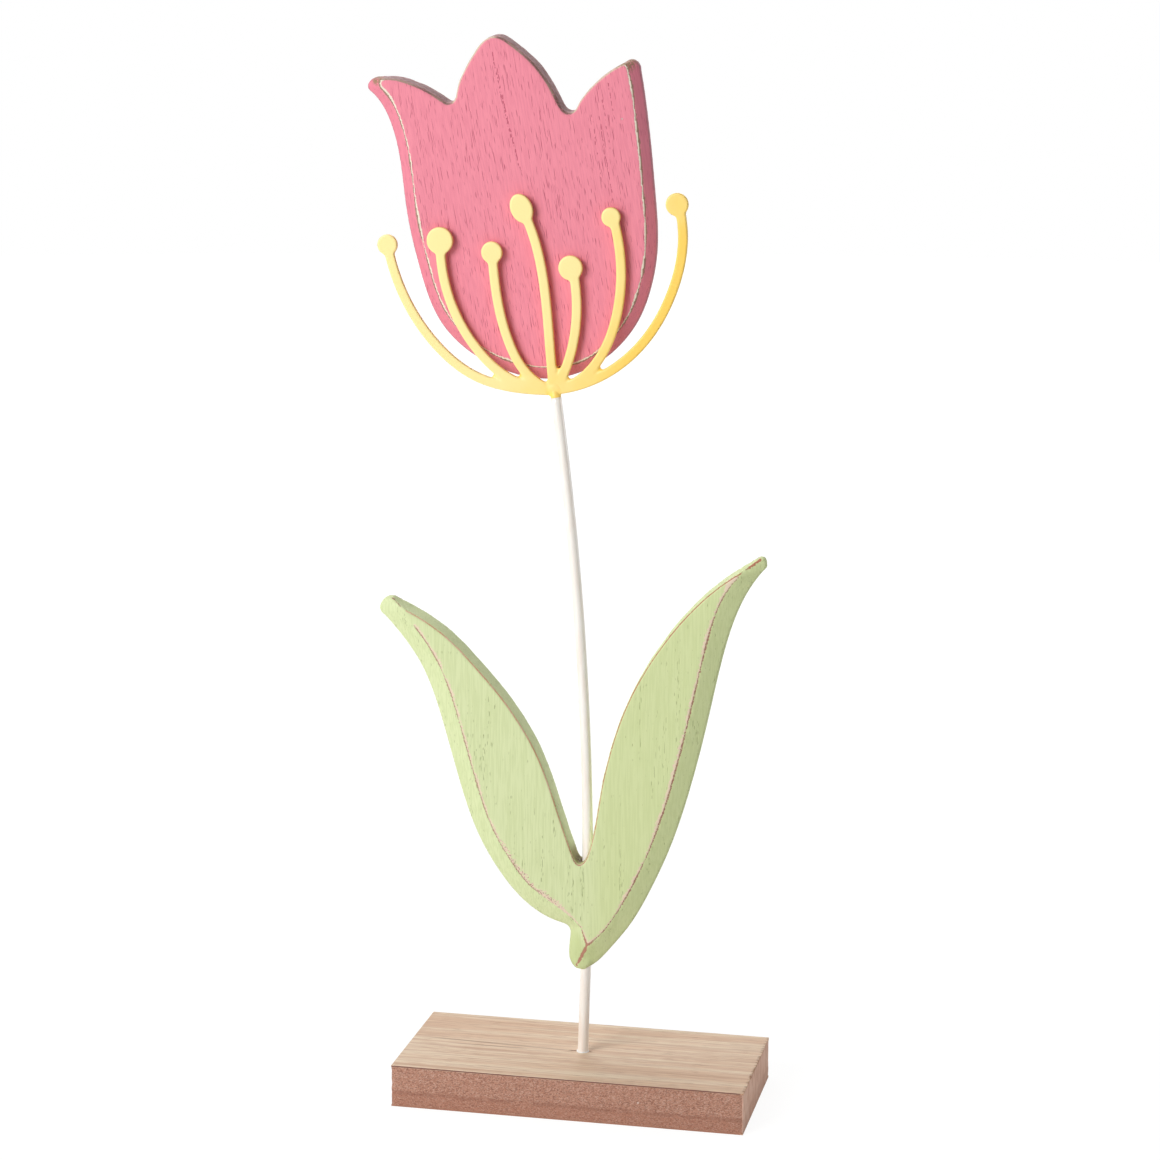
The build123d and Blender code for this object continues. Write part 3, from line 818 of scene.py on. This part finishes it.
def makeFibreboard(look):
    finish = Finish("fibreboard", look["roughness"], look["specular"])
    fine = finish.noise(look["fleckSize"], 0, 2)
    dark = finish.noise(look["fibreSize"], 0, 2, look["fibreShift"])
    drift = finish.noise(look["driftSize"], 0, 3)
    colour = finish.mix(finish.ramp(fine, *look["fleckLevels"]), look["board"], look["fleck"])
    fibres = finish.times(finish.ramp(dark, *look["fibreLevels"]), look["fibreShare"])
    colour = finish.mix(fibres, colour, look["fibre"])

    # a broken seam, with darker board below it
    waver = finish.plus(finish.axes["Z"], finish.swing(drift, look["seamWaver"]))
    aboveSeam = finish.minus(waver, look["seamHeight"])
    below = finish.ramp(aboveSeam, *look["lowerFade"])
    colour = finish.mix(finish.times(below, look["lowerShare"]), colour, look["lower"])
    groove = finish.ramp(finish.size(aboveSeam), *look["seamWidth"])
    broken = finish.times(groove, finish.ramp(drift, *look["seamLevels"]))
    colour = finish.mix(finish.times(broken, look["seamShare"]), colour, look["seam"])
    colour = finish.mix(nearSpot(finish, *look["dot"]), colour, look["dotTone"])

    # smears of dust on the ends, most of them on the right one, which is painted paler as well: painted
    # light on the right end
    end = finish.ramp(finish.under("X", "base_core"), *look["endDepth"])
    dustAndLight = finish.minus(look["endDustAndLight"], finish.times(below, look["dustAndLightBelow"]))
    dustAndLight = finish.times(dustAndLight, finish.ramp(finish.axes["X"], *look["dustAndLightSpan"]))
    dustAndLight = finish.plus(dustAndLight, look["leastDustAndLight"])
    smears = finish.noise(look["smearSize"], 0, 4, look["smearShift"])
    endColour = finish.mix(finish.ramp(smears, *look["smearLevels"]), look["end"], look["endDark"])
    colour = finish.mix(finish.times(end, dustAndLight), colour, endColour)
    rough = finish.opposite(finish.times(end, look["endFlatness"]))
    return finish.done(colour, finish.times(finish.minus(fine, dark), rough), look["bump"])


def makeVeneer(name, node, look):
    finish = Finish(name, look["roughness"], look["specular"])
    bands = finish.noise(look["bandSize"], 0, 3)
    colour = finish.mix(finish.ramp(bands, *look["bandLevels"]), look["pale"], look["wood"])
    grain, marks = {}, {}
    for layer, (size, shift, detail, levels, share, dye) in veneerGrain.items():
        grain[layer] = finish.noise(size, 0, detail, (0, shift, 0))
        marks[layer] = finish.ramp(grain[layer], *levels)
        colour = finish.mix(finish.times(marks[layer], share), colour, look[dye])

    # single dark lines
    waver = finish.swing(grain["lines"], look["streakWaver"])
    for across, slope, leftEnd, rightEnd in veneerStreaks:
        line = finish.plus(across, finish.times(finish.axes["X"], slope))
        gap = finish.size(finish.plus(finish.minus(finish.axes["Y"], line), waver))
        ends = finish.times(finish.ramp(finish.axes["X"], leftEnd, leftEnd + look["leftFade"]),
                            finish.ramp(finish.axes["X"], rightEnd, rightEnd - look["rightFade"]))
        thin = finish.times(ends, finish.ramp(grain["threads"], *look["streakLevels"]))
        mark = finish.times(finish.ramp(gap, *look["streakWidth"]), thin)
        colour = finish.mix(finish.times(mark, look["streakShare"]), colour, look["pore"])

    # the frayed right end, and the edges
    toEnd = finish.minus(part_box(node)[1].x / mm, finish.axes["X"])
    frayed = finish.ramp(toEnd, *look["frayDepth"])
    frayed = finish.times(frayed, finish.ramp(grain["threads"], *look["frayLevels"]))
    colour = finish.mix(finish.times(frayed, look["frayShare"]), colour, look["frayed"])
    onEdge = finish.ramp(finish.under("Z", node), *look["edgeDepth"])
    edge = finish.mix(finish.ramp(toEnd, *look["endDepth"]), look["edge"], look["endEdge"])
    colour = finish.mix(onEdge, colour, edge)
    height = finish.minus(finish.times(grain["threads"], look["threadHeight"]), marks["pores"])
    return finish.done(colour, height, look["bump"])


baseCore = copyNode("base_core", "baseCore")
resurface(baseCore, coreShape)
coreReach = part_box("base_core")[1]
for vertex in baseCore.data.vertices:
    # flat sides up to the veneers, chipped upright corners
    place = vertex.co.copy()
    gapX = coreReach.x - abs(place.x)
    gapY = coreReach.y - abs(place.y)
    chip = max(0.0, 1 - (gapX + gapY) / coreShape["cornerReach"])
    chip *= coreShape["cornerChip"] * (1 + wander(place, coreShape["chipSize"], 4))
    if gapX < coreShape["edge"]:
        vertex.co.x = math.copysign(coreReach.x - chip, place.x)
    if gapY < coreShape["edge"]:
        vertex.co.y = math.copysign(coreReach.y - chip, place.y)
finishPiece(baseCore, "base_fibreboard", makeFibreboard(coreLook), "base_core")
bpy.ops.object.shade_smooth_by_angle(angle=flatAngle)

veneerLow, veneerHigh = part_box("base_top_veneer")
veneerSpan = veneerHigh - veneerLow
bpy.ops.object.select_all(action="DESELECT")
bpy.ops.mesh.primitive_grid_add(
    x_subdivisions=veneerShape["cellsX"], y_subdivisions=veneerShape["cellsY"], size=1,
    location=(0, 0, veneerHigh.z))
topVeneer = namePiece("topVeneer")
settle(topVeneer, (veneerSpan.x, veneerSpan.y, 1))
for vertex in topVeneer.data.vertices:
    place = vertex.co.copy()
    if place.x > veneerHigh.x - veneerShape["rimSlack"]:
        # the right end is frayed, most of all in front of its middle
        worn = 1 - abs(place.y - veneerShape["frayMiddle"]) / veneerShape["frayReach"]
        tooth = max(0.0, wander(place, veneerShape["toothSize"], 5) + veneerShape["toothShare"])
        vertex.co.x -= veneerShape["fray"] * max(veneerShape["leastWear"], worn) * tooth
    if abs(place.y) > veneerHigh.y - veneerShape["rimSlack"]:
        wave = veneerShape["wave"] * (1 + wander(place, veneerShape["waveSize"], 2)) / 2
        vertex.co.y -= math.copysign(wave, place.y)
modify(topVeneer, "SOLIDIFY", thickness=veneerSpan.z, offset=-1)


def cutVeneer(middle, halfX, halfY):
    bpy.ops.mesh.primitive_cylinder_add(
        vertices=veneerShape["holeSides"], radius=1, depth=4 * veneerSpan.z,
        location=(middle, 0, veneerHigh.z))
    cutter = namePiece("cutter")
    settle(cutter, (halfX, halfY, 1))
    modify(topVeneer, "BOOLEAN", operation="DIFFERENCE", object=cutter)
    bpy.data.objects.remove(cutter)


cutVeneer(0, veneerShape["hole"], veneerShape["hole"])
cutVeneer(veneerShape["tearMiddle"], veneerShape["tearHalfLength"], veneerShape["tearHalfWidth"])
topFinish = makeVeneer("topVeneer", "base_top_veneer", veneerLook)
finishPiece(topVeneer, "base_veneer", topFinish, "base_top_veneer")
bpy.ops.object.shade_smooth_by_angle(angle=flatAngle)
backingLook = dict(
    veneerLook, edge=tone(182, 128, 108), wood=tone(190, 158, 130), pale=tone(202, 172, 144))
backing = makeVeneer("backingVeneer", "base_bottom_veneer", backingLook)
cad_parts["base_bottom_veneer"].material_slots[0].material = backing


# glue at the stem's foot, and the studs behind the stamens

glueLook = {"glue": tone(252, 250, 247), "lumps": (0.6, 0.6, 0.6), "roughness": 0.35, "bump": 0.1}
studLook = {"steel": tone(196, 196, 198), "drawnLines": (0.2, 6, 0.2), "roughness": 0.35, "bump": 0.02}

footGlue = copyNode("stem_foot_glue", "footGlue")
glueFinish = Finish("driedGlue", glueLook["roughness"])
driedGlue = glueFinish.done(glueLook["glue"], glueFinish.noise(glueLook["lumps"]), glueLook["bump"])
finishPiece(footGlue, "foot_glue", driedGlue, "stem_foot_glue")

studFinish = Finish("studSteel", studLook["roughness"])
studFinish.shader.inputs["Metallic"].default_value = 1.0
drawnLines = studFinish.noise(studLook["drawnLines"])
studSteel = studFinish.done(studLook["steel"], drawnLines, studLook["bump"])
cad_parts["flower_studs"].material_slots[0].material = studSteel


# floor, light and camera

stageLook = {
    "floorRadius": 4, "floorTone": tone(244, 243, 240), "floorWhite": 1.1, "shadowShare": 0.16,
    "fadeStart": 0.22, "fadeEnd": 0.55, "floorSides": 96, "worldLight": 0.07,
    "lightAim": Vector((0, 0, 0.25)),
}
lightPlan = {
    "key": {"place": (-0.94, -1.30, 0.90), "size": 1.0, "power": 24.4},
    "rim": {"place": (1.6, 0.8, 0.7), "size": 1.2, "power": 9},
    "top": {"place": (-0.5, 0.5, 1.7), "size": 1.2, "power": 10},
    "back": {"place": (-0.4, 1.7, 0.7), "size": 1.2, "power": 6},
}
cameraView = {
    "azimuth": 12.0708, "elevation": 11.1724, "roll": 0.3063, "distance": 1.27181, "aimSide": -0.00226,
    "aimHeight": 0.22297, "lens": 95.37, "sensor": 36,
}

bpy.ops.object.select_all(action="DESELECT")
bpy.ops.mesh.primitive_circle_add(
    vertices=stageLook["floorSides"], radius=stageLook["floorRadius"], fill_type="NGON")
floor = namePiece("floor")
floorPaint = bpy.data.materials.new("floorPaint")
floorSheet = NodeSheet(floorPaint)
floorMatt = floorSheet.add("BsdfDiffuse", {"Color": stageLook["floorTone"]}).outputs[0]
floorWhite = floorSheet.add("Emission", {"Strength": stageLook["floorWhite"]}).outputs[0]
floorSpot = floorSheet.add("TexCoord").outputs["Object"]
floorReach = floorSheet.add("VectorMath", {0: floorSpot}, operation="LENGTH").outputs["Value"]
shadowShare = floorSheet.times(floorSheet.ramp(floorReach, stageLook["fadeEnd"], stageLook["fadeStart"]),
                               stageLook["shadowShare"])
whiteShare = floorSheet.times(floorSheet.seenPlainly(), floorSheet.opposite(shadowShare))
floorSheet.feed(floorSheet.tree.nodes["Material Output"].inputs["Surface"],
                floorSheet.mixShaders(whiteShare, floorMatt, floorWhite))
floor.data.materials.append(floorPaint)

world = bpy.data.worlds.new("studio")
bpy.context.scene.world = world
worldSheet = NodeSheet(world)
ambient = worldSheet.add("Background", {"Color": (1, 1, 1, 1), "Strength": stageLook["worldLight"]})
white = worldSheet.add("Background", {"Color": (1, 1, 1, 1), "Strength": 1.0})
worldSheet.feed(worldSheet.tree.nodes["World Output"].inputs["Surface"],
                worldSheet.mixShaders(worldSheet.seenPlainly(), ambient.outputs[0], white.outputs[0]))
print("stage set")

for lightName, plan in lightPlan.items():
    bpy.ops.object.light_add(type="AREA", location=plan["place"])
    lamp = bpy.context.active_object
    lamp.name = lightName
    lamp.data.energy = plan["power"]
    lamp.data.size = plan["size"]
    aim = stageLook["lightAim"] - Vector(plan["place"])
    lamp.rotation_euler = aim.to_track_quat("-Z", "Y").to_euler()

azimuth = math.radians(cameraView["azimuth"])
elevation = math.radians(cameraView["elevation"])
roll = math.radians(cameraView["roll"])
outward = math.cos(elevation)
back = Vector((math.sin(azimuth) * outward, -math.cos(azimuth) * outward, math.sin(elevation)))
right = Vector((math.cos(azimuth), math.sin(azimuth), 0))
up = back.cross(right)
aimPoint = right * cameraView["aimSide"] + Vector((0, 0, cameraView["aimHeight"]))
rolledRight = right * math.cos(roll) + up * math.sin(roll)
rolledUp = up * math.cos(roll) - right * math.sin(roll)
bpy.ops.object.camera_add()
camera = bpy.context.active_object
camera.matrix_world = Matrix.Translation(aimPoint + back * cameraView["distance"]) @ Matrix(
    (rolledRight, rolledUp, back)).transposed().to_4x4()
camera.data.sensor_width = cameraView["sensor"]
camera.data.lens = cameraView["lens"]
bpy.context.scene.camera = camera
bpy.context.scene.view_settings.view_transform = "Standard"
